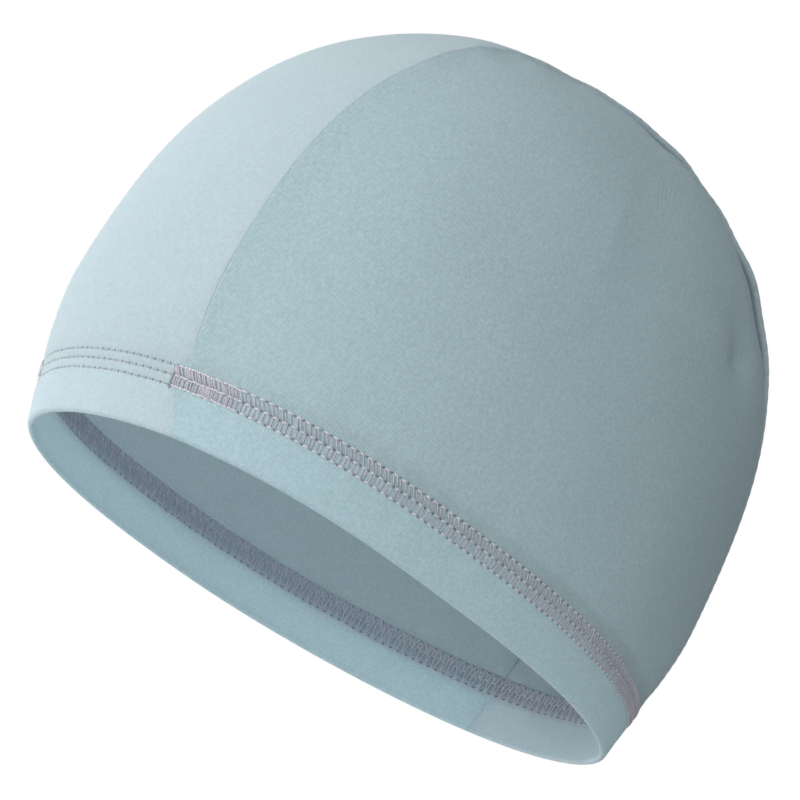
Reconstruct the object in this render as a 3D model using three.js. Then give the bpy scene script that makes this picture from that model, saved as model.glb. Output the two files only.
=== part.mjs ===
// A close-fitting stretch skull cap of three jersey panels with a turned-up hem, in the
// filled-out form that it has when worn. Millimetres, +Z towards the crown, -Y towards the
// forehead, +X towards the wearer's left, and the middle of the head opening at the origin.

import * as THREE from "three";

const { clamp, degToRad, lerp, smoothstep } = THREE.MathUtils;

// Main form: reaches from the middle at the widest level, and heights from the rim
const FRONT_REACH = 94;
const BACK_REACH = 106.5;
const SIDE_REACH = 78;
const FRONT_FULLNESS = 0.1;
const WIDEST_HEIGHT = 47;
const DOME_HEIGHT = 110;
const PLAN_POWER = 2.08;
const LENGTHWISE_POWER = 2.5;
const CROSSWISE_POWER = 2.3;

// The crown sits further back than the rim's middle, more so with height
const CROWN_LEAN = 7.4;
const LEAN_HEIGHT = 150;

// Share by which the rim is narrower than the widest level
const TUCK_FRONT = 0.063;
const TUCK_BACK = 0.041;
const TUCK_SIDE = 0.15;

// The rim's front and back stand this much above its mean level, and its sides below
const RIM_WAVE = 0.7;
const RIM_WAVE_FADE = 60;

// Centre strip, from the front hem over the crown to the back hem
const STRIP_HALF_FRONT = 35;
const STRIP_HALF_BACK = 30;
const NARROWING_START = degToRad(56);
const NARROWING_END = degToRad(74);

// Seams stand up as soft ridges that die out in the hem
const SEAM_RIDGE = 1.8;
const SEAM_SPREAD = 14;
const RIDGE_START = 10;
const RIDGE_FULL = 45;
const PANEL_GAP = 0.3;

// Cloth
const CLOTH = 1.2;
const HEM_CLOTH = 2.4;
const HEM_HEIGHT = 19;
const HEM_STEP = 0.6;
const FOLD_EDGE = 0.6;

// Soft dents, each fading out with the distance from its middle
const DENTS = [
  { x: 59, y: 50, z: 107, radius: 10, depth: 2.2 },
  { x: 41, y: 66, z: 127, radius: 12, depth: 2 },
  { x: 34, y: -24, z: 147, radius: 22, depth: 2 },
];

// Facets
const BODY_ROWS = 48;
const RISING_ROWS = 12;
const STRIP_COLUMNS = 8;
const CAST_REACH = 250;
const CAST_STEPS = 40;
const SLOPE_STEP = 0.01;

const CLOTH_LOOK = { color: 0xa9bec6, roughness: 0.9, metalness: 0 };

// Rows of the hem from the fold up: height on the cap, and how deep each skin lies there
const HEM_ROWS = [
  { height: 0, outer: FOLD_EDGE, inner: HEM_CLOTH - FOLD_EDGE },
  { height: FOLD_EDGE, outer: 0, inner: HEM_CLOTH },
  { height: HEM_HEIGHT / 3, outer: 0, inner: HEM_CLOTH },
  { height: (HEM_HEIGHT * 2) / 3, outer: 0, inner: HEM_CLOTH },
  { height: HEM_HEIGHT, outer: 0, inner: HEM_CLOTH },
  { height: HEM_HEIGHT + HEM_STEP, outer: 0, inner: CLOTH },
];
const BODY_ROW = { outer: 0, inner: CLOTH };
const HEM_ANGLE = Math.atan2(HEM_HEIGHT + HEM_STEP, FRONT_REACH);

// Reach of the widest level in one direction; a turn of 0 faces the forehead, PI / 2 faces +X
function planReach(turn) {
  const ahead = Math.cos(turn);
  const aside = Math.sin(turn);
  const length = ahead > 0 ? FRONT_REACH : BACK_REACH;
  const side = SIDE_REACH * (1 + FRONT_FULLNESS * ahead * Math.abs(ahead));
  const sum = Math.abs(ahead / length) ** PLAN_POWER + Math.abs(aside / side) ** PLAN_POWER;
  return sum ** (-1 / PLAN_POWER);
}

// Width below the widest level, as a share of the widest
function tucked(height, turn) {
  const ahead = Math.cos(turn);
  const end = ahead > 0 ? TUCK_FRONT : TUCK_BACK;
  const tuck = lerp(TUCK_SIDE, end, ahead * ahead);
  const drop = clamp(1 - height / WIDEST_HEIGHT, 0, 1);
  return 1 - tuck * drop * drop;
}

function rimLift(turn) {
  return RIM_WAVE * Math.cos(2 * turn);
}

function leanBack(z) {
  return CROWN_LEAN * (Math.max(z, 0) / LEAN_HEIGHT) ** 2;
}

// A point of the smooth form in the lower, upright part, at a height above the rim
function levelPoint(height, turn) {
  const reach = planReach(turn) * tucked(height, turn);
  const z = height + rimLift(turn) * (1 - height / RIM_WAVE_FADE);
  return new THREE.Vector3(reach * Math.sin(turn), leanBack(z) - reach * Math.cos(turn), z);
}

// Below zero inside the smooth form and above zero outside it
function outsideness(x, y, z) {
  const upright = y - leanBack(z);
  const turn = Math.atan2(x, -upright);
  const lift = rimLift(turn);
  const height = z < RIM_WAVE_FADE ? (z - lift) / (1 - lift / RIM_WAVE_FADE) : z;
  const spread = Math.hypot(x, upright) / planReach(turn);
  const rise = Math.max(0, (height - WIDEST_HEIGHT) / DOME_HEIGHT);
  const power = lerp(CROSSWISE_POWER, LENGTHWISE_POWER, Math.cos(turn) ** 2);
  return (spread / tucked(height, turn)) ** power + rise ** power - 1;
}

function outward({ x, y, z }) {
  const slope = (dx, dy, dz) => outsideness(x + dx, y + dy, z + dz) - outsideness(x - dx, y - dy, z - dz);
  const normal = new THREE.Vector3(slope(SLOPE_STEP, 0, 0), slope(0, SLOPE_STEP, 0), slope(0, 0, SLOPE_STEP));
  return normal.normalize();
}

// Where a line from inside the form meets it
function castOut(start, direction) {
  let near = 0;
  let far = CAST_REACH;
  for (let step = 0; step < CAST_STEPS; step += 1) {
    const middle = (near + far) / 2;
    const { x, y, z } = start.clone().addScaledVector(direction, middle);
    if (outsideness(x, y, z) > 0) {
      far = middle;
    } else {
      near = middle;
    }
  }
  return start.clone().addScaledVector(direction, near);
}

// Half the strip's width; the angle runs over the crown from 0 at the front to PI at the back
function stripHalf(angle) {
  return lerp(STRIP_HALF_FRONT, STRIP_HALF_BACK, smoothstep(angle, NARROWING_START, NARROWING_END));
}

function seamLift({ x, y, z }) {
  const half = stripHalf(Math.atan2(z, -y));
  const near = Math.exp(-Math.abs(Math.abs(x) - half) / SEAM_SPREAD);
  const far = Math.exp(-(Math.abs(x) + half) / SEAM_SPREAD);
  return SEAM_RIDGE * smoothstep(z, RIDGE_START, RIDGE_FULL) * (near + far);
}

function dentDepth({ x, y, z }) {
  const depths = DENTS.map((dent) => {
    const away = Math.hypot(x - dent.x, y - dent.y, z - dent.z) / dent.radius;
    return dent.depth * Math.exp(-away * away);
  });
  return depths.reduce((sum, depth) => sum + depth, 0);
}

// A point of the cloth at a depth under the outer face; the fold at the rim stays level
function inCloth(base, depth) {
  const normal = outward(base);
  normal.z *= smoothstep(base.z, 0, HEM_HEIGHT);
  normal.normalize();
  return base.clone().addScaledVector(normal, seamLift(base) - dentDepth(base) - depth);
}

// Turn at which a level of the hem reaches a distance x from the middle, at the front or back
function turnAt(height, x, atBack) {
  let low = 0;
  let high = Math.PI / 2;
  for (let step = 0; step < CAST_STEPS; step += 1) {
    const middle = (low + high) / 2;
    const turn = atBack ? Math.PI - middle : middle;
    if (levelPoint(height, turn).x > Math.abs(x)) {
      high = middle;
    } else {
      low = middle;
    }
  }
  const side = x < 0 ? -1 : 1;
  return side * (atBack ? Math.PI - low : low);
}

// Crown angle of a row of the body, counted from the front hem to the back hem
function rowAngle(row) {
  return lerp(HEM_ANGLE, Math.PI - HEM_ANGLE, row / BODY_ROWS);
}

function overCrown(x, angle) {
  return castOut(new THREE.Vector3(x, 0, 0), new THREE.Vector3(0, -Math.cos(angle), Math.sin(angle)));
}

// Rows of the centre strip: front hem, body, back hem
function stripRows() {
  const across = (half, column) => lerp(-half, half, column / STRIP_COLUMNS) * (1 - PANEL_GAP / (2 * half));
  const columns = Array.from({ length: STRIP_COLUMNS + 1 }, (_, column) => column);
  const hem = (half, atBack) =>
    HEM_ROWS.map((row) => ({
      ...row,
      points: columns.map((column) => {
        const turn = turnAt(row.height, across(half, column), atBack);
        return levelPoint(row.height, turn);
      }),
    }));
  const body = [];
  for (let row = 1; row < BODY_ROWS; row += 1) {
    const angle = rowAngle(row);
    const points = columns.map((column) => overCrown(across(stripHalf(angle), column), angle));
    body.push({ ...BODY_ROW, points });
  }
  return [...hem(STRIP_HALF_FRONT, false), ...body, ...hem(STRIP_HALF_BACK, true).reverse()];
}

// A patch between four edges: low and high run along it, start and end go up its sides
function fillPatch(low, high, start, end) {
  const columns = low.length - 1;
  const rows = start.length - 1;
  const origin = new THREE.Vector3();
  const patch = [low];
  for (let row = 1; row < rows; row += 1) {
    const v = row / rows;
    const points = low.map((_, column) => {
      const u = column / columns;
      const point = low[column].clone().lerp(high[column], v);
      point.add(start[row].clone().lerp(end[row], u));
      const lowCorners = low[0].clone().lerp(low[columns], u);
      const highCorners = high[0].clone().lerp(high[columns], u);
      point.sub(lowCorners.lerp(highCorners, v));
      return castOut(origin, point.normalize());
    });
    points[0] = start[row];
    points[columns] = end[row];
    patch.push(points);
  }
  patch.push(high);
  return patch;
}

// Rows of the left side panel, on +X: its hem, and the patch up to the seam
function sideRows() {
  const columns = BODY_ROWS - 2 * RISING_ROWS;
  const frontX = STRIP_HALF_FRONT + PANEL_GAP / 2;
  const backX = STRIP_HALF_BACK + PANEL_GAP / 2;
  const hem = HEM_ROWS.map((row) => {
    const first = turnAt(row.height, frontX, false);
    const last = turnAt(row.height, backX, true);
    const points = Array.from({ length: columns + 1 }, (_, column) =>
      levelPoint(row.height, lerp(first, last, column / columns)),
    );
    return { ...row, points };
  });
  const low = hem.at(-1).points;
  const seam = Array.from({ length: BODY_ROWS + 1 }, (_, row) => {
    const angle = rowAngle(row);
    return overCrown(stripHalf(angle) + PANEL_GAP / 2, angle);
  });
  seam[0] = low[0];
  seam[BODY_ROWS] = low[columns];
  const start = seam.slice(0, RISING_ROWS + 1);
  const high = seam.slice(RISING_ROWS, BODY_ROWS - RISING_ROWS + 1);
  const end = seam.slice(BODY_ROWS - RISING_ROWS).reverse();
  const body = fillPatch(low, high, start, end).slice(1);
  return [...hem, ...body.map((points) => ({ ...BODY_ROW, points }))];
}

function mirrored(rows) {
  const flip = new THREE.Vector3(-1, 1, 1);
  return rows.map((row) => ({ ...row, points: row.points.map((point) => point.clone().multiply(flip)) }));
}

function signedVolume(points, index) {
  let volume = 0;
  for (let i = 0; i < index.length; i += 3) {
    const [a, b, c] = [points[index[i]], points[index[i + 1]], points[index[i + 2]]];
    volume += a.dot(b.clone().cross(c)) / 6;
  }
  return volume;
}

// One closed solid from rows of points: an outer skin, an inner skin and the edge between them
function panelGeometry(rows) {
  const width = rows[0].points.length;
  const height = rows.length;
  const outer = rows.flatMap((row) => row.points.map((point) => inCloth(point, row.outer)));
  const inner = rows.flatMap((row) => row.points.map((point) => inCloth(point, row.inner)));
  const points = [...outer, ...inner];
  const onInner = outer.length;
  const index = [];
  const quad = (a, b, c, d) => index.push(a, b, c, a, c, d);
  for (let row = 0; row < height - 1; row += 1) {
    for (let column = 0; column < width - 1; column += 1) {
      const corner = row * width + column;
      const [a, b, c, d] = [corner, corner + 1, corner + width + 1, corner + width];
      quad(a, b, c, d);
      quad(onInner + d, onInner + c, onInner + b, onInner + a);
    }
  }
  const edge = (a, b) => quad(b, a, onInner + a, onInner + b);
  for (let column = 0; column < width - 1; column += 1) {
    const top = (height - 1) * width + column;
    edge(column, column + 1);
    edge(top + 1, top);
  }
  for (let row = 0; row < height - 1; row += 1) {
    const left = row * width;
    const right = left + width - 1;
    edge(left + width, left);
    edge(right, right + width);
  }
  if (signedVolume(points, index) < 0) {
    index.reverse();
  }
  const geometry = new THREE.BufferGeometry().setFromPoints(points);
  geometry.setIndex(index);
  geometry.computeVertexNormals();
  return geometry;
}

function panel(name, rows) {
  const mesh = new THREE.Mesh(panelGeometry(rows), new THREE.MeshStandardMaterial(CLOTH_LOOK));
  mesh.name = name;
  return mesh;
}

const cap = new THREE.Group();
const side = sideRows();
cap.add(panel("centre_panel", stripRows()));
cap.add(panel("left_panel", side));
cap.add(panel("right_panel", mirrored(side)));

export default cap;
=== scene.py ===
import math

import bmesh
import bpy
import numpy as np
from mathutils import Matrix, Vector


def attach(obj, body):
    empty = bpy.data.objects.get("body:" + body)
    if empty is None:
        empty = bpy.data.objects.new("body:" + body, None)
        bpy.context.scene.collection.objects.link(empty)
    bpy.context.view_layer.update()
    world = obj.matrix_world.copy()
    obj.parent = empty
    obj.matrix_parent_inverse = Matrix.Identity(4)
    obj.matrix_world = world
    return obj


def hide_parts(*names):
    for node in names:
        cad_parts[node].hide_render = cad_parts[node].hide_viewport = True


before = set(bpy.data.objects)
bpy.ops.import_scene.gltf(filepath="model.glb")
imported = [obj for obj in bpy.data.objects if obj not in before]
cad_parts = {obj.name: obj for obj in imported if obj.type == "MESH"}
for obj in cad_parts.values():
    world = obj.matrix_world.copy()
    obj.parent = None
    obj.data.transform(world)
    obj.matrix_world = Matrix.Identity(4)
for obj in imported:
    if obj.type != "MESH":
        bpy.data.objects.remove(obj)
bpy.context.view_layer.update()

# A close-fitting jersey skull cap: three panels, a turned-up hem and its cover stitch.
# Lengths are in millimetres until the meshes are made, +Z is the crown, -Y the forehead.

MM = 0.001

# Main form, as in the solids
FRONT_REACH = 94
BACK_REACH = 106.5
SIDE_REACH = 78
FRONT_FULLNESS = 0.1
WIDEST_HEIGHT = 47
DOME_HEIGHT = 110
PLAN_POWER = 2.08
LENGTHWISE_POWER = 2.5
CROSSWISE_POWER = 2.3
CROWN_LEAN = 7.4
LEAN_HEIGHT = 150
TUCK_FRONT = 0.063
TUCK_BACK = 0.041
TUCK_SIDE = 0.15
RIM_WAVE = 0.7
RIM_WAVE_FADE = 60

# Centre strip and seams
STRIP_HALF_FRONT = 35
STRIP_HALF_BACK = 30
NARROWING_START = math.radians(59)
NARROWING_END = math.radians(78)
SEAM_RIDGE = 1.8
SEAM_SPREAD = 14
RIDGE_START = 10
RIDGE_FULL = 45
PANEL_GAP = 0.02
EDGE_RIDGE = 1.1
EDGE_RIDGE_BACK = 0.35
FAR_EDGE = 0.3
EDGE_SPREAD_STRIP = 13
EDGE_SPREAD_SIDE = 7
SEAM_STITCH = 2.6
GROOVE_DEPTH = 0.1
GROOVE_WIDTH = 0.4
STEP_FRONT = 0.05
STEP_BACK = 0.8
STEP_SPREAD = 6
ALLOWANCE_WIDTH = 4
ALLOWANCE_THICK = 1.1

# The seam's relief where it runs through the hem, as a share of its relief in the body
GROOVE_IN_HEM = 0.5
EDGE_IN_HEM = 0.7

# Puckers along the seam, whose spacing drifts; the arc is its length to a radian over the crown
PUCKER_HEIGHT = 0.05
PUCKER_REACH = 1.4
PUCKER_DRIFT = 1.7
DRIFT_LENGTH = 9
SEAM_ARC = 110

# Soft waves of the seam over the crown, which set in between two heights
CROWN_WAVE = 0.4
CROWN_WAVE_LENGTH = 17
CROWN_WAVE_REACH = 9
CROWN_WAVE_HEIGHTS = (110, 140)

# The hem was stitched a little askew: its seam sways forward under the needle rows
SEAM_SWAY = 3.2
SWAY_HEIGHT = 13.3
SWAY_SPREAD = 5

# Where the strip's edge puffs out at the back of the left seam, and the side panel sinks beside it
PUFFS = [
    {"angle": math.radians(96), "range": math.radians(6), "rise": 0.6, "sink": 0.6, "step": 0.5},
    {"angle": math.radians(117), "range": math.radians(9), "rise": 1.5, "sink": 0.9, "step": 0.6},
]

# How far from the seam a puff's rise and sink have their middles, and how far they reach
PUFF_AWAY = 3
PUFF_REACH = 4
SINK_AWAY = 6
SINK_REACH = 7
PUFF_STEP_REACH = 4

# Cloth and hem
CLOTH = 0.9
FOLD_RADIUS = 0.95
HEM_CLOTH = 2 * FOLD_RADIUS
HEM_HEIGHT = 19
HEM_STEP = 0.5
HEM_TOP = 22
HEM_PROUD = 0.08
DRAW_IN = 0.22
DRAW_REACH = 0.55
HEM_RIPPLE = 0.11
HEM_RIPPLE_LENGTH = 9

# Slight unevenness of the whole cloth, which sets in between two heights
UNEVENNESS = 0.22
UNEVEN_LENGTH = 46
UNEVEN_HEIGHTS = (2, 40)

# Soft dents, each fading out with the distance from its middle, as in the solids
DENTS = [
    {"at": (59, 50, 107), "radius": 10, "depth": 2.2},
    {"at": (41, 66, 127), "radius": 12, "depth": 2.0},
    {"at": (34, -24, 147), "radius": 22, "depth": 2.0},
]

# Ridges, creases and a broad sink on the left side panel: middle, direction, half length and width
CREASES = [
    {"at": (64.5, 39, 103), "along": (-0.25, 0.9, 0.2), "length": 14, "width": 3.0, "height": 0.8},
    {"at": (60.5, 49, 103.5), "along": (-0.3, 0.85, 0.3), "length": 7, "width": 2.0, "height": -1.3},
    {"at": (67.8, -11.4, 108.4), "along": (0.3, -0.1, -0.95), "length": 26, "width": 4.0, "height": 0.3},
    {"at": (50.4, -19.4, 134.7), "along": (-0.15, 0.98, 0.1), "length": 30, "width": 5.0, "height": 0.5},
    {"at": (50, 80, 50), "along": (0, 0.1, 1), "length": 44, "width": 22, "height": -1.3},
]

# Cover stitch: heights of the needle rows on the outside, and of the looper's rows inside
NEEDLE_ROWS = (11.5, 14.1, 16.6)
INNER_ROWS = (13.0, 16.0, 19.0)
SCALLOP_DROP = 0.6
STITCH = 2.5
DASH = 1.65
ROW_SHIFT = 0.15

# Where the round laps over its start: turns from the forehead, in degrees
LAP_TURNS = (20.9, 32.9)

# Threads: radii, lifts off the cloth along one stitch, and how much the front rows sink in
DASH_RADIUS = 0.25
COVER_RADIUS = 0.23
LOOPER_RADIUS = 0.12
NET_RADIUS = 0.19
TACK_RADIUS = 0.15
TUBE_TAPER = 0.45
NEEDLE_LIFTS = (-0.3, 0.1, 0.2, 0.2, 0.1, -0.3)
LOOPER_LIFTS = (-0.15, 0.05, 0.16, 0.16, 0.05, -0.15)
FRONT_SINK = 0.14

# Painted shadow in each needle hole: its size, how dark it is, and how far the looper threads cover it
# inside
HOLE_LENGTH = 0.42
HOLE_WIDTH = 0.32
HOLE_SHADE_STRENGTH = 0.9
HOLE_COVERED = 0.45

# Mesh fineness
BODY_ROWS = 400
RISING_ROWS = 100
SEAM_COLUMNS = (0.12, 0.28, 0.5, 0.8, 1.2, 1.8, 2.6, 3.8)
STRIP_COLUMNS = 46
CAST_REACH = 250
CAST_STEPS = 36
SLOPE_STEP = 0.01
TUBE_SIDES = 6
NET_SIDES = 5
TRACK_POINTS = 4001

# Knit: the pitches of its ribs and courses in metres, how strongly they show, and how ribs sway
RIB_PITCH = 0.62 * MM
COURSE_PITCH = 0.5 * MM
RIB_SHARE = 0.4
COURSE_SHARE = 0.16
RIB_SWAY = 0.35

# Lay of the ribs: the strip's length to a radian over the crown, and the fan of a side's ribs
STRIP_ARC = 115
FAN_REACH = 130
FAN_INSET = 60
FAN_SLIDE = 5

# How the knit's painted light and shade and its specks mark the cloth, and how much broad patches lighten
# it
KNIT_SHADE = 1.7
SPECK_SHADE = 3.0
SHADE_DROP = 1.85
PATCH_SHADE = 0.12

# Noise in waves to the metre
CLOTH_PATCH_NOISE = 22
SWAY_NOISE = 90
TINT_NOISE = 700
SPECK_NOISE = 1100
THREAD_PATCH_NOISE = 60
FUZZ_NOISE = 2600

# Colours of cloth and thread, and the share of the light that passes through them
CLOTH_LIGHT = (0.7, 0.89, 0.94, 1)
CLOTH_DARK = (0.475, 0.62, 0.665, 1)
# Painted sheen: the strip is a lighter copy of the side panels' jersey, for the sheen of its other grain;
# its ribs show less
STRIP_SHEEN_LIGHT = (0.72, 0.86, 0.91, 1)
STRIP_SHEEN_DARK = (0.565, 0.685, 0.73, 1)
WARM_TINT = (1.04, 0.98, 1.0, 1)
COOL_TINT = (0.96, 1.02, 1.0, 1)
# Painted shade for the cloth inside above the hem, and painted shadow for the cloth under the looper
# threads
WRONG_SIDE_PAINTED_SHADE = (0.74, 0.72, 0.73, 1)
BAND_PAINTED_SHADOW = (0.7, 0.66, 0.7, 1)
PASSING_COLOR = (0.86, 0.9, 0.93, 1)
# Colour of the painted shadow in each needle hole
HOLE_SHADE_COLOR = (0.12, 0.14, 0.16, 1)
THREAD_LIGHT = (0.63, 0.64, 0.73, 1)
THREAD_DARK = (0.46, 0.46, 0.54, 1)
# Painted highlight: the needle dashes are a near-white copy of the sewing thread, for their glints
NEEDLE_GLINT_LIGHT = (0.92, 0.9, 0.95, 1)
NEEDLE_GLINT_DARK = (0.66, 0.64, 0.7, 1)
# Painted shade: the rows over the strip's front are a darker copy of the sewing thread
FRONT_SHADE_LIGHT = (0.5, 0.54, 0.6, 1)
FRONT_SHADE_DARK = (0.34, 0.37, 0.42, 1)
# Painted light: the looper threads inside are a much lighter copy of the sewing thread
LOOPER_LIT_LIGHT = (0.92, 0.93, 1.0, 1)
LOOPER_LIT_DARK = (0.74, 0.75, 0.84, 1)
# Painted shadow: the start tack is a much darker copy of the sewing thread
TACK_SHADOW_LIGHT = (0.4, 0.38, 0.42, 1)
TACK_SHADOW_DARK = (0.25, 0.24, 0.28, 1)
CLOTH_PASSES = 0.41
THREAD_PASSES = 0.12
CLOTH_ROUGHNESS = (0.8, 0.92)
THREAD_ROUGHNESS = (0.35, 0.6)

# Camera: below the rim, in front and to the side, rolled
AZIMUTH = 56.935
ELEVATION = -16.801
ROLL = 27.457
AIM = Vector((0, 0, 80))
SLIDE_RIGHT = -11.198
SLIDE_UP = -18.519
DISTANCE = 850
LENS = 140
SENSOR = 36

# Key light in metres and watts, on the photo's left; directions are to its right, up and front
KEY_FROM = (-0.9, 0.35, 0.4)
KEY_DISTANCE = 1.0
KEY_SIZE = 0.8
KEY_POWER = 0.3
CAP_MIDDLE = Vector((0, 7, 75))

# Broad soft lights all round: direction to the photo's right, up and front, strength and sharpness
SKY_GLOWS = [
    {"from": (-1, 1, 1), "strength": 1.6, "sharpness": 3},
    {"from": (0, 1, 0), "strength": 0.2, "sharpness": 1},
    {"from": (0, 0, 1), "strength": 1.0, "sharpness": 2},
    {"from": (-1, 0, -1), "strength": 3.8, "sharpness": 3},
    {"from": (1, 0, -1), "strength": 0.25, "sharpness": 3},
]

# Floor, in metres
FLOOR_HEIGHT = -0.5
FLOOR_SIZE = 1.6
FLOOR_NOISE = 3
FLOOR_LIGHT = (0.8, 0.8, 0.8, 1)
FLOOR_DARK = (0.76, 0.76, 0.76, 1)


def smoothstep(value, low, high):
    share = np.clip((value - low) / (high - low), 0, 1)
    return share * share * (3 - 2 * share)


def lerp(low, high, share):
    return low + (high - low) * share


def bell(distance, width):
    return np.exp(-((distance / width) ** 2))


def plan_reach(turn):
    """Reach of the widest level; a turn of 0 faces the forehead, and a quarter turn +X."""
    ahead, aside = np.cos(turn), np.sin(turn)
    length = np.where(ahead > 0, FRONT_REACH, BACK_REACH)
    side = SIDE_REACH * (1 + FRONT_FULLNESS * ahead * np.abs(ahead))
    powers = np.abs(ahead / length) ** PLAN_POWER + np.abs(aside / side) ** PLAN_POWER
    return powers ** (-1 / PLAN_POWER)


def tucked(height, turn):
    """Width below the widest level, as a share of the widest."""
    ahead = np.cos(turn)
    end = np.where(ahead > 0, TUCK_FRONT, TUCK_BACK)
    drop = np.clip(1 - height / WIDEST_HEIGHT, 0, 1)
    return 1 - lerp(TUCK_SIDE, end, ahead * ahead) * drop * drop


def rim_lift(turn):
    return RIM_WAVE * np.cos(2 * turn)


def lean_back(z):
    return CROWN_LEAN * (np.maximum(z, 0) / LEAN_HEIGHT) ** 2


def level_point(height, turn):
    """A point of the smooth form at a height above the rim."""
    height, turn = np.broadcast_arrays(np.asarray(height, float), turn)
    reach = plan_reach(turn) * tucked(height, turn)
    z = height + rim_lift(turn) * (1 - height / RIM_WAVE_FADE)
    return np.stack([reach * np.sin(turn), lean_back(z) - reach * np.cos(turn), z], -1)


def level_height(point):
    """Height above the rim of a point low on the form."""
    turn = turn_of(point)
    lift = rim_lift(turn)
    z = point[..., 2]
    return np.where(z < RIM_WAVE_FADE, (z - lift) / (1 - lift / RIM_WAVE_FADE), z)


def turn_of(point):
    return np.arctan2(point[..., 0], lean_back(point[..., 2]) - point[..., 1])


def outsideness(point):
    """Below zero inside the smooth form and above zero outside it."""
    upright = point[..., 1] - lean_back(point[..., 2])
    turn = np.arctan2(point[..., 0], -upright)
    height = level_height(point)
    spread = np.hypot(point[..., 0], upright) / plan_reach(turn)
    rise = np.maximum(0, (height - WIDEST_HEIGHT) / DOME_HEIGHT)
    power = lerp(CROSSWISE_POWER, LENGTHWISE_POWER, np.cos(turn) ** 2)
    return (spread / tucked(height, turn)) ** power + rise**power - 1


def unit(vectors):
    return vectors / np.linalg.norm(vectors, axis=-1, keepdims=True)


def outward(point):
    steps = SLOPE_STEP * np.eye(3)
    slopes = [outsideness(point + step) - outsideness(point - step) for step in steps]
    return unit(np.stack(slopes, -1))


def cast_out(start, direction):
    """Where lines from inside the form meet it."""
    near = np.zeros(np.broadcast_shapes(start.shape, direction.shape)[:-1])
    far = near + CAST_REACH
    for _ in range(CAST_STEPS):
        middle = (near + far) / 2
        out = outsideness(start + direction * middle[..., None]) > 0
        far = np.where(out, middle, far)
        near = np.where(out, near, middle)
    return start + direction * near[..., None]


def crown_angle(point):
    return np.arctan2(point[..., 2], -point[..., 1])


def strip_half(angle):
    """Half the strip's width; the angle runs over the crown from the front to the back."""
    return lerp(STRIP_HALF_FRONT, STRIP_HALF_BACK, smoothstep(angle, NARROWING_START, NARROWING_END))


def hem_sway(height):
    """How far the front seam sways forward within the hem."""
    above = 1 - smoothstep(height, HEM_HEIGHT - 2, HEM_TOP)
    return SEAM_SWAY * above * bell(height - SWAY_HEIGHT, SWAY_SPREAD)


def seam_distance(point):
    """Sideways distance from the nearer seam, above zero on the side panel."""
    sway = np.where(point[..., 1] < 0, hem_sway(level_height(point)), 0)
    return np.abs(point[..., 0]) - strip_half(crown_angle(point)) + sway


def over_crown(x, angle):
    x, angle = np.broadcast_arrays(np.asarray(x, float), angle)
    start = np.stack([x, 0 * x, 0 * x], -1)
    direction = np.stack([0 * x, -np.cos(angle), np.sin(angle)], -1)
    return cast_out(start, direction)


def turn_at(height, x, at_back):
    """Turn at which a level of the hem reaches a distance x from the middle."""
    height, x = np.broadcast_arrays(np.asarray(height, float), x)
    low = np.zeros(x.shape)
    high = low + math.pi / 2
    for _ in range(CAST_STEPS):
        middle = (low + high) / 2
        turn = math.pi - middle if at_back else middle
        beyond = level_point(height, turn)[..., 0] > np.abs(x)
        high = np.where(beyond, middle, high)
        low = np.where(beyond, low, middle)
    return np.where(x < 0, -1, 1) * (math.pi - low if at_back else low)


def waves(point, length, seed, count=7):
    """Smooth, seeded unevenness between about -1 and 1, with waves of about one length."""
    rng = np.random.default_rng(seed)
    total = 0
    for _ in range(count):
        direction = unit(rng.normal(size=3))
        pitch = length * rng.uniform(0.75, 1.35)
        total = total + np.sin(point @ direction * 2 * math.pi / pitch + rng.uniform(0, 2 * math.pi))
    return total / math.sqrt(count)


def seam_relief(point):
    """The ridge along a seam, the step down to the side panel, the fine groove and the puckers."""
    away = seam_distance(point)
    angle = crown_angle(point)
    z = point[..., 2]
    on_side = away > 0
    backward = smoothstep(angle, NARROWING_START, NARROWING_END)
    in_body = smoothstep(z, HEM_HEIGHT - 1, HEM_TOP + 6)
    other = 2 * np.abs(point[..., 0]) - away
    ridge = np.exp(-np.abs(away) / SEAM_SPREAD) + np.exp(-other / SEAM_SPREAD)
    ridge = SEAM_RIDGE * smoothstep(z, RIDGE_START, RIDGE_FULL) * ridge
    spread = np.where(on_side, EDGE_SPREAD_SIDE, EDGE_SPREAD_STRIP)
    edge = lerp(EDGE_RIDGE, EDGE_RIDGE_BACK, backward) * np.exp(-np.abs(away) / spread)
    edge = edge * lerp(EDGE_IN_HEM, 1, in_body) * np.where(point[..., 0] > 0, 1, FAR_EDGE)
    step = np.where(on_side, lerp(STEP_FRONT, STEP_BACK, backward) * np.exp(-away / STEP_SPREAD), 0)
    groove = GROOVE_DEPTH * lerp(GROOVE_IN_HEM, 1, in_body) * bell(away, GROOVE_WIDTH)
    body = PUCKER_HEIGHT * puckers(angle, away) + crown_waves(point, away) - step
    return ridge - groove + edge + in_body * body + puff_lift(point)


def puckers(angle, away):
    """Small puckers, one to a stitch of the seam, between about -1 and 1."""
    along = angle * SEAM_ARC
    drift = PUCKER_DRIFT * np.sin(along / DRIFT_LENGTH)
    return np.sin(along * 2 * math.pi / SEAM_STITCH + drift) * bell(away, PUCKER_REACH)


def crown_waves(point, away):
    """Soft waves of the cloth beside the seam over the crown."""
    share = bell(away, CROWN_WAVE_REACH) * smoothstep(point[..., 2], *CROWN_WAVE_HEIGHTS)
    return CROWN_WAVE * waves(point, CROWN_WAVE_LENGTH, 5) * share


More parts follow.
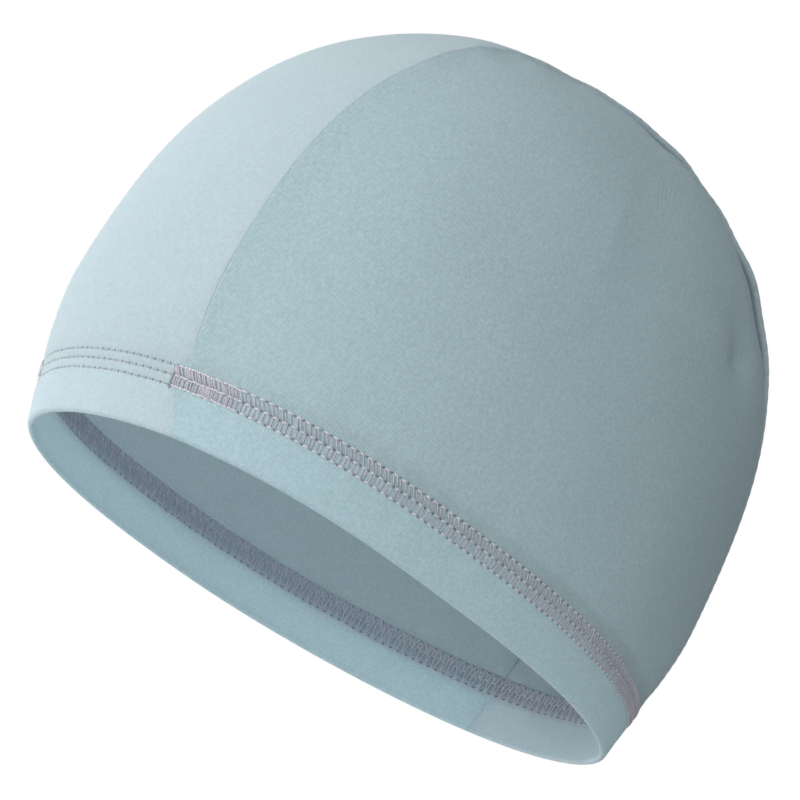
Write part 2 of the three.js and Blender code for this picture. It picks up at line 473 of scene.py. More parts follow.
def puff_lift(point):
    """The strip's edge puffed out and the side panel sunk beside it, at the back on +X."""
    away = seam_distance(point)
    angle = crown_angle(point)
    total = 0
    for puff in PUFFS:
        share = bell(angle - puff["angle"], puff["range"]) * (point[..., 0] > 0)
        rise = puff["rise"] * bell(away + PUFF_AWAY, PUFF_REACH)
        sink = puff["sink"] * bell(away - SINK_AWAY, SINK_REACH)
        sink = sink + puff["step"] * np.exp(-np.abs(away) / PUFF_STEP_REACH)
        total = total + share * np.where(away > 0, -sink, rise)
    return total


def dent_depth(point):
    total = 0
    for dent in DENTS:
        away = np.linalg.norm(point - np.array(dent["at"], float), axis=-1)
        total = total + dent["depth"] * bell(away, dent["radius"])
    return total


def crease_lift(point):
    total = 0
    for crease in CREASES:
        offset = point - np.array(crease["at"], float)
        along = unit(np.array(crease["along"], float))
        run = offset @ along
        away = np.linalg.norm(offset - run[..., None] * along, axis=-1)
        total = total + crease["height"] * bell(run, crease["length"]) * bell(away, crease["width"])
    return total


def hem_relief(point):
    """The doubled hem stands a little proud, and its rows of stitches draw it in."""
    height = level_height(point)
    proud = HEM_PROUD * (1 - smoothstep(height, HEM_HEIGHT - 0.3, HEM_HEIGHT + 1.3))
    rows = sum(bell(height - row, DRAW_REACH) for row in NEEDLE_ROWS)
    fade = 1 - smoothstep(height, HEM_HEIGHT, HEM_TOP + 8)
    ripples = waves(point, HEM_RIPPLE_LENGTH, 11) * fade * smoothstep(height, 1, 8)
    return proud - DRAW_IN * rows + HEM_RIPPLE * ripples


def relief(point):
    """How far the outer face stands off the smooth form."""
    uneven = UNEVENNESS * waves(point, UNEVEN_LENGTH, 3) * smoothstep(point[..., 2], *UNEVEN_HEIGHTS)
    return seam_relief(point) - dent_depth(point) + crease_lift(point) + hem_relief(point) + uneven


def hang_normal(point):
    """The outward direction, kept level at the rim so that the fold stays level."""
    normal = outward(point)
    normal[..., 2] *= smoothstep(point[..., 2], 0, HEM_HEIGHT)
    return unit(normal)


def fold_depth(height):
    """Depth of the outer face under the cap's face where it rounds into the fold."""
    drop = np.clip(FOLD_RADIUS - height, 0, FOLD_RADIUS)
    return FOLD_RADIUS - np.sqrt(FOLD_RADIUS**2 - drop**2)


def inner_depth(point):
    """Depth of the inner face: double cloth in the hem, and a flat allowance along each seam."""
    height = level_height(point)
    thick = lerp(HEM_CLOTH, CLOTH, smoothstep(height, HEM_HEIGHT, HEM_HEIGHT + HEM_STEP))
    away = seam_distance(point)
    above = smoothstep(height, HEM_HEIGHT, HEM_TOP)
    allowance = ALLOWANCE_THICK * above * np.exp(-((away / ALLOWANCE_WIDTH) ** 4))
    return thick + allowance


def outer_place(point, lift=0.0):
    depth = fold_depth(level_height(point))
    return point + hang_normal(point) * (relief(point) - depth + lift)[..., None]


def inner_place(point, lift=0.0):
    """A point of the inner face, which follows the outer face's soft forms but not its groove."""
    away = seam_distance(point)
    groove = GROOVE_DEPTH * bell(away, GROOVE_WIDTH)
    rounding = fold_depth(level_height(point))
    depth = inner_depth(point) - rounding + lift
    return point + hang_normal(point) * (relief(point) + groove - depth)[..., None]


def hem_heights():
    """Levels from the fold to the hem's top, closer together at the fold and the raw edge."""
    fold = [FOLD_RADIUS * (1 - math.cos(step * math.pi / 12)) for step in range(7)]
    low = list(np.arange(1.6, HEM_HEIGHT - 0.1, 0.6))
    top = [HEM_HEIGHT, HEM_HEIGHT + HEM_STEP / 2, HEM_HEIGHT + HEM_STEP, HEM_HEIGHT + 1.2, HEM_HEIGHT + 2]
    return np.array(fold + low + top + [HEM_TOP])


def quads_of(points):
    """The quads of a grid of points, each as its four corners."""
    corners = points[:-1, :-1], points[:-1, 1:], points[1:, 1:], points[1:, :-1]
    return np.stack(corners, 2).reshape(-1, 4, 3)


def strip_base():
    """Base quads of the centre strip: front hem, body and back hem."""
    edge = np.array((0,) + SEAM_COLUMNS)
    middle = np.linspace(-1, 1, STRIP_COLUMNS + 1)

    def across(half):
        inset = np.asarray(half)[..., None] - PANEL_GAP / 2
        inner = (inset - SEAM_COLUMNS[-1]) * middle[1:-1]
        return np.concatenate([edge - inset, inner, (inset - edge)[..., ::-1]], -1)

    heights = hem_heights()
    grids = []
    angles = []
    front_half = STRIP_HALF_FRONT - hem_sway(heights)
    back_half = STRIP_HALF_BACK + 0 * heights
    for half, at_back in ((front_half, False), (back_half, True)):
        turns = turn_at(heights[:, None], across(half), at_back)
        grid = level_point(heights[:, None], turns)
        grids.append(grid)
        angles.append(crown_angle(grid[-1]))
    share = np.linspace(0, 1, BODY_ROWS + 1)[1:-1, None]
    angle = lerp(angles[0], angles[1], share)
    half = strip_half(angle[:, angle.shape[1] // 2])
    body = over_crown(across(half), angle)
    return quads_of(np.concatenate([grids[0], body, grids[1][::-1]]))


def side_base():
    """Base quads of the side panel on +X: hem, a fine border along the seam, and the middle."""
    offsets = PANEL_GAP / 2 + np.array((0,) + SEAM_COLUMNS)
    columns = BODY_ROWS - 2 * RISING_ROWS
    heights = hem_heights()[:, None]
    front = turn_at(heights, STRIP_HALF_FRONT - hem_sway(heights) + offsets[None, :], False)
    back = turn_at(heights, STRIP_HALF_BACK + offsets[None, :], True)
    between = lerp(front[:, -1:], back[:, -1:], np.linspace(0, 1, columns + 1)[None, 1:-1])
    turns = np.concatenate([front, between, back[:, ::-1]], 1)
    hem = level_point(heights, turns)
    start_angle = crown_angle(hem[-1, : len(offsets)])
    end_angle = crown_angle(hem[-1, ::-1][: len(offsets)])
    share = np.linspace(0, 1, BODY_ROWS + 1)[:, None]
    angle = lerp(start_angle, end_angle, share)
    border = over_crown(strip_half(angle) + offsets, angle)
    border[0] = hem[-1, : len(offsets)]
    border[-1] = hem[-1, ::-1][: len(offsets)]
    inner = border[:, -1]
    low = hem[-1, len(offsets) - 1 : len(offsets) + columns]
    start = inner[: RISING_ROWS + 1]
    high = inner[RISING_ROWS : BODY_ROWS - RISING_ROWS + 1]
    end = inner[BODY_ROWS - RISING_ROWS :][::-1]
    middle = fill_patch(low, high, start, end)
    return np.concatenate([quads_of(hem), quads_of(border[:, ::-1].swapaxes(0, 1)), quads_of(middle)])


def fill_patch(low, high, start, end):
    """A grid between four edges: low and high run along it, start and end go up its sides."""
    u = np.linspace(0, 1, len(low))[None, :, None]
    v = np.linspace(0, 1, len(start))[:, None, None]
    points = lerp(low[None], high[None], v) + lerp(start[:, None], end[:, None], u)
    points = points - lerp(lerp(low[0], low[-1], u), lerp(high[0], high[-1], u), v)
    grid = cast_out(np.zeros(3), unit(points))
    grid[0], grid[-1] = low, high
    grid[:, 0], grid[:, -1] = start, end
    return grid


def weld(quads):
    """Shared points and the quads as numbers of points."""
    flat = quads.reshape(-1, 3)
    _, first, number = np.unique(np.round(flat, 3), axis=0, return_index=True, return_inverse=True)
    return flat[first], number.reshape(-1, 4)


def make_mesh(name, points, faces, material):
    mesh = bpy.data.meshes.new(name)
    mesh.from_pydata((points * MM).tolist(), [], faces)
    mesh.update()
    mesh.shade_smooth()
    mesh.materials.append(material)
    piece = bpy.data.objects.new(name, mesh)
    bpy.context.scene.collection.objects.link(piece)
    return piece


def add_map(piece, name, across, along):
    """Stores two numbers for each point under a name that the materials read."""
    layer = piece.data.uv_layers.new(name=name)
    corners = np.zeros(len(piece.data.loops), np.int32)
    piece.data.loops.foreach_get("vertex_index", corners)
    places = np.stack([across, along], -1)[corners]
    layer.data.foreach_set("uv", places.astype(np.float32).ravel())


def hem_map(point):
    """Stitches round the hem, without a jump in the hem of any panel, and the height above the rim."""
    turn = turn_of(point)
    turn = np.where((point[..., 1] > 0) & (turn < 0), turn + 2 * math.pi, turn)
    return stitches_at(turn), level_height(point)


def outer_height(height):
    """The height outside that belongs to a height inside, so that the rows of holes meet."""
    share = (height - INNER_ROWS[0]) / (INNER_ROWS[2] - INNER_ROWS[0])
    return lerp(NEEDLE_ROWS[0], NEEDLE_ROWS[2], share)


def face_map(point, inside):
    """One on the knit's wrong side inside above the hem, which takes painted shade, and one under the
    looper threads, which takes painted shadow.
    """
    height = level_height(point)
    above = height > HEM_HEIGHT + HEM_STEP / 4
    band = smoothstep(height, INNER_ROWS[0] - 0.4, INNER_ROWS[0] + 1.2) * ~above
    return (inside & above).astype(float), inside * band


def mirrored(quads):
    return quads[:, ::-1] * np.array([-1, 1, 1])


def closed_panel(name, quads, ribs, material):
    """One panel as a closed body: outer face, inner face, rounded fold and seam edges."""
    base, faces = weld(quads)
    count = len(base)
    at_fold = level_height(base) < 1e-3
    below = np.where(at_fold, np.arange(count), np.arange(count) + count)
    points = np.concatenate([outer_place(base), inner_place(base)])
    edges = np.concatenate([np.stack([faces[:, k], faces[:, (k + 1) % 4]], 1) for k in range(4)])
    known = set(map(tuple, edges.tolist()))
    rims = [(a, b) for a, b in edges.tolist() if (b, a) not in known and not (at_fold[a] and at_fold[b])]
    walls = [tuple(dict.fromkeys((b, a, int(below[a]), int(below[b])))) for a, b in rims]
    shown = faces.tolist() + below[faces[:, ::-1]].tolist() + walls
    piece = make_mesh(name, points, shown, material)
    doubled = np.concatenate([base, base])
    add_map(piece, "weave", *(place * MM for place in ribs(doubled)))
    inside = np.arange(len(doubled)) >= count
    stitch, height = hem_map(doubled)
    add_map(piece, "hem", stitch, np.where(inside, outer_height(height), height))
    add_map(piece, "face", *face_map(doubled, inside))
    drop_loose(piece)
    return piece


def drop_loose(piece):
    """Removes the unused inner points at the fold."""
    used = np.zeros(len(piece.data.loops), np.int32)
    piece.data.loops.foreach_get("vertex_index", used)
    loose = np.setdiff1d(np.arange(len(piece.data.vertices)), used)
    made = bmesh.new()
    made.from_mesh(piece.data)
    made.verts.ensure_lookup_table()
    bmesh.ops.delete(made, geom=[made.verts[int(i)] for i in loose], context="VERTS")
    made.to_mesh(piece.data)
    made.free()


def strip_ribs(point):
    """The strip's ribs run along it: distance across them, and along them over the crown."""
    return point[..., 0], crown_angle(point) * STRIP_ARC


def side_ribs(point):
    """A side panel's ribs stand upright: distance across them round the side, and up them."""
    turn = np.arctan2(point[..., 1] - FAN_SLIDE, np.abs(point[..., 0]) + FAN_INSET)
    return FAN_REACH * turn, point[..., 2]


def tubes(name, paths, radius, material, sides=TUBE_SIDES):
    """Threads along equally long paths of points, as one mesh of tubes with tapered ends."""
    paths = np.asarray(paths, float)
    count, length = paths.shape[:2]
    tangent = unit(np.gradient(paths, axis=1))
    aim = unit(hang_normal(paths))
    side = unit(np.cross(tangent, aim))
    top = np.cross(side, tangent)
    turn = np.arange(sides) * 2 * math.pi / sides
    ring = np.cos(turn)[:, None] * side[:, :, None, :] + np.sin(turn)[:, None] * top[:, :, None, :]
    width = np.full(length, float(radius))
    width[0] = width[-1] = radius * TUBE_TAPER
    points = paths[:, :, None, :] + ring * width[:, None, None]
    index = np.arange(count * length * sides).reshape(count, length, sides)
    rolled = np.roll(index, -1, 2)
    faces = np.stack([index[:, :-1], rolled[:, :-1], rolled[:, 1:], index[:, 1:]], -1).reshape(-1, 4)
    caps = index[:, 0, ::-1].tolist() + index[:, -1].tolist()
    return make_mesh(name, points.reshape(-1, 3), faces.tolist() + caps, material)


def hem_track():
    """Turns and the stitch numbers that belong to them, once round the hem from the middle back."""
    turn = np.linspace(-math.pi, math.pi, TRACK_POINTS)
    points = level_point(NEEDLE_ROWS[1], turn)
    run = np.concatenate([[0], np.cumsum(np.linalg.norm(np.diff(points, axis=0), axis=1))])
    count = round(run[-1] / STITCH)
    return turn, run * count / run[-1], count


def turn_for(stitches):
    turn, number, count = hem_track()
    return np.interp(np.mod(stitches, count), number, turn)


def stitches_at(turn):
    known, number, count = hem_track()
    wrapped = np.where(turn > math.pi, turn - 2 * math.pi, turn)
    return np.interp(wrapped, known, number) + np.where(turn > math.pi, count, 0)


def on_hem(height, turn, lift):
    return outer_place(level_point(height, turn), lift)


def in_hem(height, turn, lift):
    return inner_place(level_point(height, turn), lift)


def strands(stitches, track, place, seed, sway=0.05):
    """A strand for each stitch: its track is a list of stitch share, height and lift."""
    rng = np.random.default_rng(seed)
    share, height, lift = (np.array(column) for column in zip(*track))
    shift = rng.normal(0, sway, (len(stitches), 1))
    turns = turn_for(np.asarray(stitches)[:, None] + share + shift)
    heights = height + rng.normal(0, sway, (len(stitches), 1))
    return place(heights, turns, lift + 0 * turns)


def all_stitches():
    return np.arange(hem_track()[2])


def lapped_stitches():
    """The stitches where the end of the round was sewn over its start."""
    first, last = stitches_at(np.radians(LAP_TURNS))
    return np.arange(math.ceil(first), math.floor(last))


def at_front(stitches):
    """Whether stitches lie over the strip's front, where the threads are drawn flat."""
    return np.abs(turn_for(stitches)) < math.radians(LAP_TURNS[0])


def loose_stitches():
    stitches = all_stitches()
    return stitches[~at_front(stitches)]


def front_stitches():
    stitches = all_stitches()
    return stitches[at_front(stitches)]


def needle_track(row):
    """One dash of a needle row, with both ends sunk into the cloth."""
    count = len(NEEDLE_LIFTS)
    shares = np.linspace(-0.5, 0.5, count) * DASH / STITCH + row * ROW_SHIFT
    return list(zip(shares, [NEEDLE_ROWS[row]] * count, NEEDLE_LIFTS))


def needle_dashes(thread):
    """The short straight stitches of the three needle rows, twice over where the round laps."""
    paths = []
    for row in range(3):
        paths.append(strands(loose_stitches(), needle_track(row), on_hem, 21 + row, 0.03))
        paths.append(strands(lapped_stitches() + 0.5, needle_track(row), on_hem, 31 + row, 0.08))
    return tubes("needle_stitches", np.concatenate(paths), DASH_RADIUS, thread)


def front_rows(thread):
    """The three fine rows over the strip's front, drawn into the cloth, in a darker copy of the thread
    that is painted shade.
    """
    paths = []
    for row in range(3):
        track = [(share, height, lift - FRONT_SINK) for share, height, lift in needle_track(row)]
        paths.append(strands(front_stitches(), track, on_hem, 25 + row, 0.03))
    return tubes("front_rows", np.concatenate(paths), COVER_RADIUS, thread, NET_SIDES)


def cover_tracks():
    """The spreader thread: steep strands in the lower half, and strands that lean back in the upper."""
    low, middle, top = NEEDLE_ROWS
    lower = [
        (0.06, low - 0.1, -0.15),
        (0.05, low + 0.4, 0.16),
        (0.02, lerp(low, middle, 0.5), 0.24),
        (0.0, middle - 0.4, 0.16),
        (-0.02, middle, -0.15),
    ]
    upper = [
        (0.0, middle, -0.15),
        (-0.1, middle + 0.4, 0.2),
        (-0.32, lerp(middle, top, 0.5), 0.28),
        (-0.55, top - 0.35, 0.2),
        (-0.64, top + 0.1, -0.15),
    ]
    return lower, upper


def cover_net(thread):
    """The spreader thread that covers the band between the needle rows, denser where the round laps."""
    paths = []
    for seed, track in enumerate(cover_tracks()):
        for shift in (0.0, 0.5):
            number = 41 + seed + round(4 * shift)
            paths.append(strands(loose_stitches() + shift, track, on_hem, number, 0.06))
        raised = [(share, height, lift + 0.12) for share, height, lift in track]
        for shift in (0.15, 0.4, 0.65, 0.9):
            number = 51 + seed + round(20 * shift)
            paths.append(strands(lapped_stitches() + shift, raised, on_hem, number, 0.09))
    return tubes("cover_threads", np.concatenate(paths), COVER_RADIUS, thread, NET_SIDES)


def start_tack(thread):
    """The first stitches, drawn together into a short upright bar across the lower rows, in a dark thread
    that is painted shadow.
    """
    start = float(stitches_at(math.radians(LAP_TURNS[0])))
    track = [
        (0.0, 10.4, -0.1),
        (0.02, 11.2, 0.3),
        (0.0, 12.4, 0.4),
        (-0.03, 13.8, 0.4),
        (0.0, 14.8, 0.3),
        (0.02, 15.4, -0.1),
    ]
    paths = strands(start + np.array([-0.05, 0.07]), track, on_hem, 61, 0.03)
    return tubes("start_tack", paths, TACK_RADIUS, thread)


def looper_net(thread):
    """The looper threads inside the hem: V shapes over the band, and a scalloped lower edge."""
    low, middle, top = INNER_ROWS
    share = np.linspace(0, 1, 9)
    swing = 0.5 - 0.5 * np.cos(2 * math.pi * share)
    lift = 0.1 + 0.15 * np.sin(math.pi * share)
    paths = []
    for phase, base in ((0.0, low), (0.5, middle)):
        track = list(zip(share, lerp(base, top, swing), lift))
        paths.append(strands(loose_stitches() + phase, track, in_hem, 71 + round(2 * phase), 0.07))
    scallop = low - SCALLOP_DROP * np.sin(math.pi * share)
    paths.append(strands(all_stitches(), list(zip(share, scallop, lift)), in_hem, 75, 0.05))
    return tubes("looper_threads", np.concatenate(paths), NET_RADIUS, thread, NET_SIDES)


def looper_rows(thread):
    """The short looped stitches where the needles come through inside the hem."""
    count = len(LOOPER_LIFTS)
    shares = np.linspace(-0.3, 0.3, count)
    paths = []
    for row, height in enumerate(INNER_ROWS):
        track = list(zip(shares + row * ROW_SHIFT, [height] * count, LOOPER_LIFTS))
        paths.append(strands(all_stitches(), track, in_hem, 81 + row, 0.04))
    return tubes("looper_rows", np.concatenate(paths), LOOPER_RADIUS, thread, NET_SIDES)


def node(tree, kind, **inputs):
    made = tree.nodes.new(kind)
    for name, value in inputs.items():
        made.inputs[name.replace("_", " ")].default_value = value
    return made


def math_node(tree, operation, first, second=None):
    made = tree.nodes.new("ShaderNodeMath")
    made.operation = operation
    for socket, value in zip(made.inputs, (first, second)):
        if value is None:
            continue
        if isinstance(value, (int, float)):
            socket.default_value = value
        else:
            tree.links.new(value, socket)
    return made.outputs[0]


def scaled(tree, value, factor):
    return math_node(tree, "MULTIPLY", value, factor)


def summed(tree, first, second):
    return math_node(tree, "ADD", first, second)


def ranged(tree, value, low, high):
    """A value between 0 and 1, spread out between two others."""
    return summed(tree, scaled(tree, value, high - low), low)


def wave(tree, turns):
    return math_node(tree, "SINE", scaled(tree, turns, 2 * math.pi))


def color_mix(tree, share, first, second, blend="MIX"):
    made = tree.nodes.new("ShaderNodeMix")
    made.data_type = "RGBA"
    made.blend_type = blend
    for name, value in (("Factor", share), ("A", first), ("B", second)):
        socket = next(s for s in made.inputs if s.name == name and s.enabled)
        if isinstance(value, (int, float, tuple)):
            socket.default_value = value
        else:
            tree.links.new(value, socket)
    return next(s for s in made.outputs if s.enabled)


def mapped(tree, name):
    """The two numbers that a map of the mesh holds."""
    source = tree.nodes.new("ShaderNodeUVMap")
    source.uv_map = name
    apart = tree.nodes.new("ShaderNodeSeparateXYZ")
    tree.links.new(source.outputs[0], apart.inputs[0])
    return apart.outputs[0], apart.outputs[1]


def noise(tree, place, scale, detail=2.0):
    made = node(tree, "ShaderNodeTexNoise", Scale=scale, Detail=detail)
    tree.links.new(place, made.inputs["Vector"])
    return made.outputs["Fac"]


def shader_of(material):
    return material.node_tree.nodes["Principled BSDF"]


def new_material(name):
    material = bpy.data.materials.new(name)
    material.use_nodes = True
    return material, material.node_tree


def object_place(tree):
    return tree.nodes.new("ShaderNodeTexCoord").outputs["Object"]


def knit_pattern(tree, place):
    """Fine weft knit: ribs of V-shaped stitches, which also colour the cloth as painted light on their
    crests and painted shade between them.
    """
    side, run = mapped(tree, "weave")
    sway = scaled(tree, noise(tree, place, SWAY_NOISE), RIB_SWAY)
    across = summed(tree, math_node(tree, "DIVIDE", side, RIB_PITCH), sway)
    along = math_node(tree, "DIVIDE", run, COURSE_PITCH)
    slant = math_node(tree, "PINGPONG", across, 0.5)
    rib = scaled(tree, wave(tree, across), RIB_SHARE)
    course = scaled(tree, wave(tree, summed(tree, along, slant)), COURSE_SHARE)
    return summed(tree, summed(tree, rib, course), 0.5)


def knit_color(tree, place, knit, speck, light, dark):
    """The cloth's colour, a little uneven in shade and hue, with the knit's painted light and shade."""
    shade = summed(tree, scaled(tree, knit, KNIT_SHADE), scaled(tree, speck, SPECK_SHADE))
    shade = math_node(tree, "SUBTRACT", shade, SHADE_DROP)
    color = color_mix(tree, shade, dark, light)
    tint = color_mix(tree, noise(tree, place, TINT_NOISE, 1.0), WARM_TINT, COOL_TINT)
    color = color_mix(tree, 1.0, color, tint, "MULTIPLY")
    patch = noise(tree, place, CLOTH_PATCH_NOISE, 3.0)
    return color_mix(tree, scaled(tree, patch, PATCH_SHADE), color, light)


def shaded_inside(tree, color):
    """Painted shade on the knit's wrong side inside above the hem, and painted shadow on the cloth under
    the looper threads.
    """
    wrong, band = mapped(tree, "face")
    color = color_mix(tree, wrong, color, WRONG_SIDE_PAINTED_SHADE, "MULTIPLY")
    return color_mix(tree, band, color, BAND_PAINTED_SHADOW, "MULTIPLY")


def needle_hole_shade(tree):
    """Painted shadow: near one where a needle row pierces the cloth between two dashes, and zero
    elsewhere.
    """
    stitch, above = mapped(tree, "hem")
    total = 0.0
    for row, height in enumerate(NEEDLE_ROWS):
        share = math_node(tree, "FRACT", math_node(tree, "SUBTRACT", stitch, row * ROW_SHIFT))
        along = scaled(tree, math_node(tree, "SUBTRACT", share, 0.5), STITCH / HOLE_LENGTH)
        across = math_node(tree, "DIVIDE", math_node(tree, "SUBTRACT", above, height), HOLE_WIDTH)
        away = summed(tree, math_node(tree, "POWER", along, 2.0), math_node(tree, "POWER", across, 2.0))
        total = summed(tree, total, math_node(tree, "EXPONENT", scaled(tree, away, -1.0)))
    return scaled(tree, total, HOLE_SHADE_STRENGTH)


def open_hole_shade(tree):
    """Painted shadow in each needle hole, half covered inside by the looper threads."""
    band = mapped(tree, "face")[1]
    share = math_node(tree, "SUBTRACT", 1.0, scaled(tree, band, HOLE_COVERED))
    return math_node(tree, "MULTIPLY", needle_hole_shade(tree), share)


def add_bump(tree, shader, height, strength, distance):
    bump = node(tree, "ShaderNodeBump", Strength=strength, Distance=distance)
    tree.links.new(height, bump.inputs["Height"])
    tree.links.new(bump.outputs[0], shader.inputs["Normal"])


def let_light_through(tree, shader, color, share):
    """Thin cloth or thread: a share of the light passes through it."""
    glow = tree.nodes.new("ShaderNodeBsdfTranslucent")
    tree.links.new(color, glow.inputs["Color"])
    mix = tree.nodes.new("ShaderNodeMixShader")
    mix.inputs[0].default_value = share
    tree.links.new(shader.outputs[0], mix.inputs[1])
    tree.links.new(glow.outputs[0], mix.inputs[2])
    tree.links.new(mix.outputs[0], tree.nodes["Material Output"].inputs["Surface"])


def jersey_material(name, light, dark):
    """Thin matte jersey with a soft sheen."""
    material, tree = new_material(name)
    shader = shader_of(material)
    place = object_place(tree)
    knit = knit_pattern(tree, place)
    speck = noise(tree, place, SPECK_NOISE, 1.0)
    # Painted shadow: the cloth's colour and the light passing through it darken at each needle hole
    hole_shade = open_hole_shade(tree)
    # Painted shade inside above the hem and painted shadow under the looper threads, in both the
    # reflected and the passing colour
    color = shaded_inside(tree, knit_color(tree, place, knit, speck, light, dark))
    tree.links.new(color_mix(tree, hole_shade, color, HOLE_SHADE_COLOR), shader.inputs["Base Color"])
    passing = shaded_inside(tree, color_mix(tree, knit, PASSING_COLOR, light))
    let_light_through(tree, shader, color_mix(tree, hole_shade, passing, HOLE_SHADE_COLOR), CLOTH_PASSES)
    tree.links.new(ranged(tree, speck, *CLOTH_ROUGHNESS), shader.inputs["Roughness"])
    add_bump(tree, shader, knit, 0.6, 0.0002)
    shader.inputs["Sheen Weight"].default_value = 0.25
    shader.inputs["Sheen Roughness"].default_value = 0.45
    shader.inputs["Specular IOR Level"].default_value = 0.25
    return material


def thread_material(name, light, dark, passes=THREAD_PASSES):
    """Soft textured polyester thread."""
    material, tree = new_material(name)
    shader = shader_of(material)
    place = object_place(tree)
    fuzz = noise(tree, place, FUZZ_NOISE, 2.0)
    patch = noise(tree, place, THREAD_PATCH_NOISE, 2.0)
    shade = summed(tree, scaled(tree, fuzz, 0.6), scaled(tree, patch, 0.4))
    color = color_mix(tree, shade, dark, light)
    tree.links.new(color, shader.inputs["Base Color"])
    let_light_through(tree, shader, color, passes)
    tree.links.new(ranged(tree, fuzz, *THREAD_ROUGHNESS), shader.inputs["Roughness"])
    add_bump(tree, shader, fuzz, 0.4, 0.0001)
    shader.inputs["Sheen Weight"].default_value = 0.3
    return material


def camera_axes():
    azimuth, elevation, roll = (math.radians(angle) for angle in (AZIMUTH, ELEVATION, ROLL))
    level = math.cos(elevation)
    back = Vector((math.sin(azimuth) * level, -math.cos(azimuth) * level, math.sin(elevation)))
    plain_right = Vector((math.cos(azimuth), math.sin(azimuth), 0))
    plain_up = back.cross(plain_right)
    right = plain_right * math.cos(roll) + plain_up * math.sin(roll)
    return right, back.cross(right), back


def add_camera():
    right, up, back = camera_axes()
    data = bpy.data.cameras.new("camera")
    data.lens = LENS
    data.sensor_width = SENSOR
    data.clip_start = 0.01
    camera = bpy.data.objects.new("camera", data)
    place = (AIM + back * DISTANCE + right * SLIDE_RIGHT + up * SLIDE_UP) * MM
    turned = Matrix((right, up, back)).transposed().to_4x4()
    camera.matrix_world = Matrix.Translation(place) @ turned
    bpy.context.scene.collection.objects.link(camera)
    bpy.context.scene.camera = camera


def photo_direction(parts):
    """A direction given by its parts to the photo's right, up and front."""
    return sum((axis * part for axis, part in zip(camera_axes(), parts)), Vector()).normalized()


def add_key_light():
    """A square soft light that faces the middle of the cap."""
    data = bpy.data.lights.new("key_softbox", "AREA")
    data.shape = "SQUARE"
    data.size = KEY_SIZE
    data.energy = KEY_POWER
    light = bpy.data.objects.new("key_softbox", data)
    away = photo_direction(KEY_FROM)
    turned = away.to_track_quat("Z", "Y").to_matrix().to_4x4()
    light.matrix_world = Matrix.Translation(CAP_MIDDLE * MM + away * KEY_DISTANCE) @ turned
    bpy.context.scene.collection.objects.link(light)


def sky_level(tree, place):
    """How bright the sky is in each direction: the sum of its broad glows."""
    level = 0.0
    for glow in SKY_GLOWS:
        way = tree.nodes.new("ShaderNodeVectorMath")
        way.operation = "DOT_PRODUCT"
        way.inputs[1].default_value = photo_direction(glow["from"])
        tree.links.new(place, way.inputs[0])
        facing = math_node(tree, "MAXIMUM", way.outputs["Value"], 0.0)
        facing = math_node(tree, "POWER", facing, float(glow["sharpness"]))
        level = summed(tree, level, scaled(tree, facing, glow["strength"]))
    return level


def add_world():
    """Soft light that is strongest from the photo's left; the camera sees plain white."""
    world = bpy.data.worlds.new("studio")
    world.use_nodes = True
    tree = world.node_tree
    tree.nodes.clear()
    place = tree.nodes.new("ShaderNodeTexCoord").outputs["Generated"]
    soft = node(tree, "ShaderNodeBackground", Color=(1, 1, 1, 1))
    tree.links.new(sky_level(tree, place), soft.inputs["Strength"])
    white = node(tree, "ShaderNodeBackground", Color=(1, 1, 1, 1), Strength=1.0)
    path = tree.nodes.new("ShaderNodeLightPath")
    mix = tree.nodes.new("ShaderNodeMixShader")
    out = tree.nodes.new("ShaderNodeOutputWorld")
    tree.links.new(path.outputs["Is Camera Ray"], mix.inputs[0])
    tree.links.new(soft.outputs[0], mix.inputs[1])
    tree.links.new(white.outputs[0], mix.inputs[2])
    tree.links.new(mix.outputs[0], out.inputs[0])
    bpy.context.scene.world = world


def floor_material():
    material, tree = new_material("floor_white")
    shade = noise(tree, object_place(tree), FLOOR_NOISE, 2.0)
    color = color_mix(tree, shade, FLOOR_DARK, FLOOR_LIGHT)
    tree.links.new(color, shader_of(material).inputs["Base Color"])
    return material


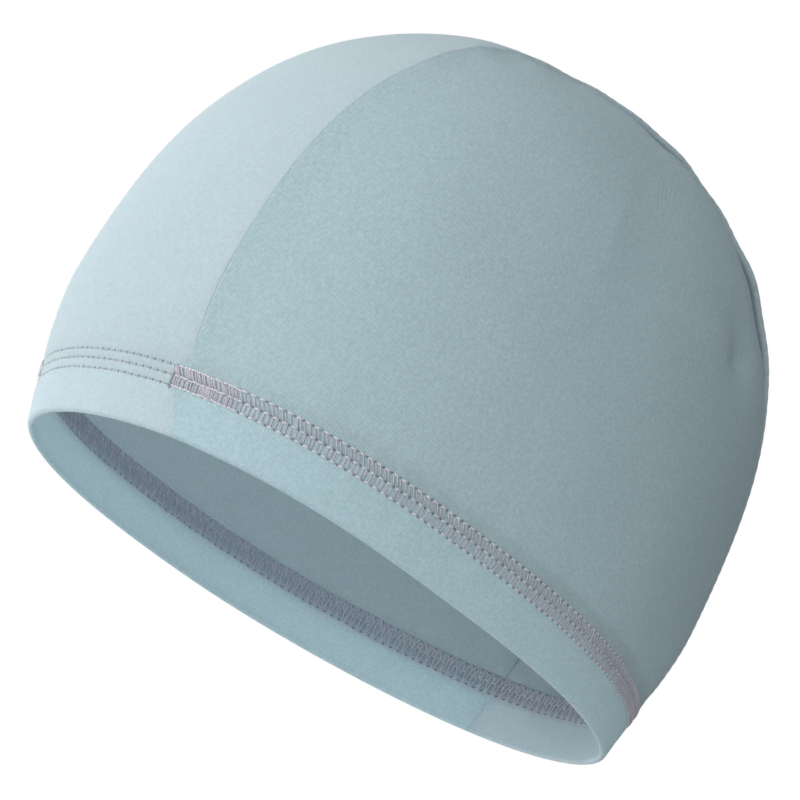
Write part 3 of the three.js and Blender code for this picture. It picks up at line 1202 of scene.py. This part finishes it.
def add_floor():
    half = FLOOR_SIZE / 2
    sides = ((-half, -half), (half, -half), (half, half), (-half, half))
    mesh = bpy.data.meshes.new("floor")
    mesh.from_pydata([(x, y, FLOOR_HEIGHT) for x, y in sides], [], [(0, 1, 2, 3)])
    mesh.materials.append(floor_material())
    floor = bpy.data.objects.new("floor", mesh)
    bpy.context.scene.collection.objects.link(floor)


def build_cloth():
    """The three panels of the cap."""
    # The strip's jersey is a lighter copy of the sides' jersey, as painted sheen
    strip_jersey_painted_sheen = jersey_material("strip_jersey_painted_sheen", STRIP_SHEEN_LIGHT, STRIP_SHEEN_DARK)
    side_jersey = jersey_material("side_jersey", CLOTH_LIGHT, CLOTH_DARK)
    side = side_base()
    centre = closed_panel("centre_cloth", strip_base(), strip_ribs, strip_jersey_painted_sheen)
    left = closed_panel("left_cloth", side, side_ribs, side_jersey)
    right = closed_panel("right_cloth", mirrored(side), side_ribs, side_jersey)
    for piece, stands_for in ((centre, "centre_panel"), (left, "left_panel"), (right, "right_panel")):
        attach(piece, "root")
        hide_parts(stands_for)


def build_stitching():
    """The threads of the hem's cover stitch."""
    cover = thread_material("sewing_thread", THREAD_LIGHT, THREAD_DARK)
    # A lighter copy of the thread, with painted highlights
    needle = thread_material("needle_thread_painted_glint", NEEDLE_GLINT_LIGHT, NEEDLE_GLINT_DARK)
    # A lighter copy of the thread, with painted light
    looper = thread_material("looper_thread", LOOPER_LIT_LIGHT, LOOPER_LIT_DARK, CLOTH_PASSES)
    front = thread_material("front_thread_painted_shade", FRONT_SHADE_LIGHT, FRONT_SHADE_DARK)
    tack = thread_material("tack_thread_painted_shadow", TACK_SHADOW_LIGHT, TACK_SHADOW_DARK)
    pieces = [
        needle_dashes(needle),
        cover_net(cover),
        looper_net(looper),
        looper_rows(looper),
        front_rows(front),
        start_tack(tack),
    ]
    for piece in pieces:
        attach(piece, "root")


build_cloth()
build_stitching()
add_camera()
add_key_light()
add_world()
add_floor()
bpy.context.scene.view_settings.view_transform = "Standard"
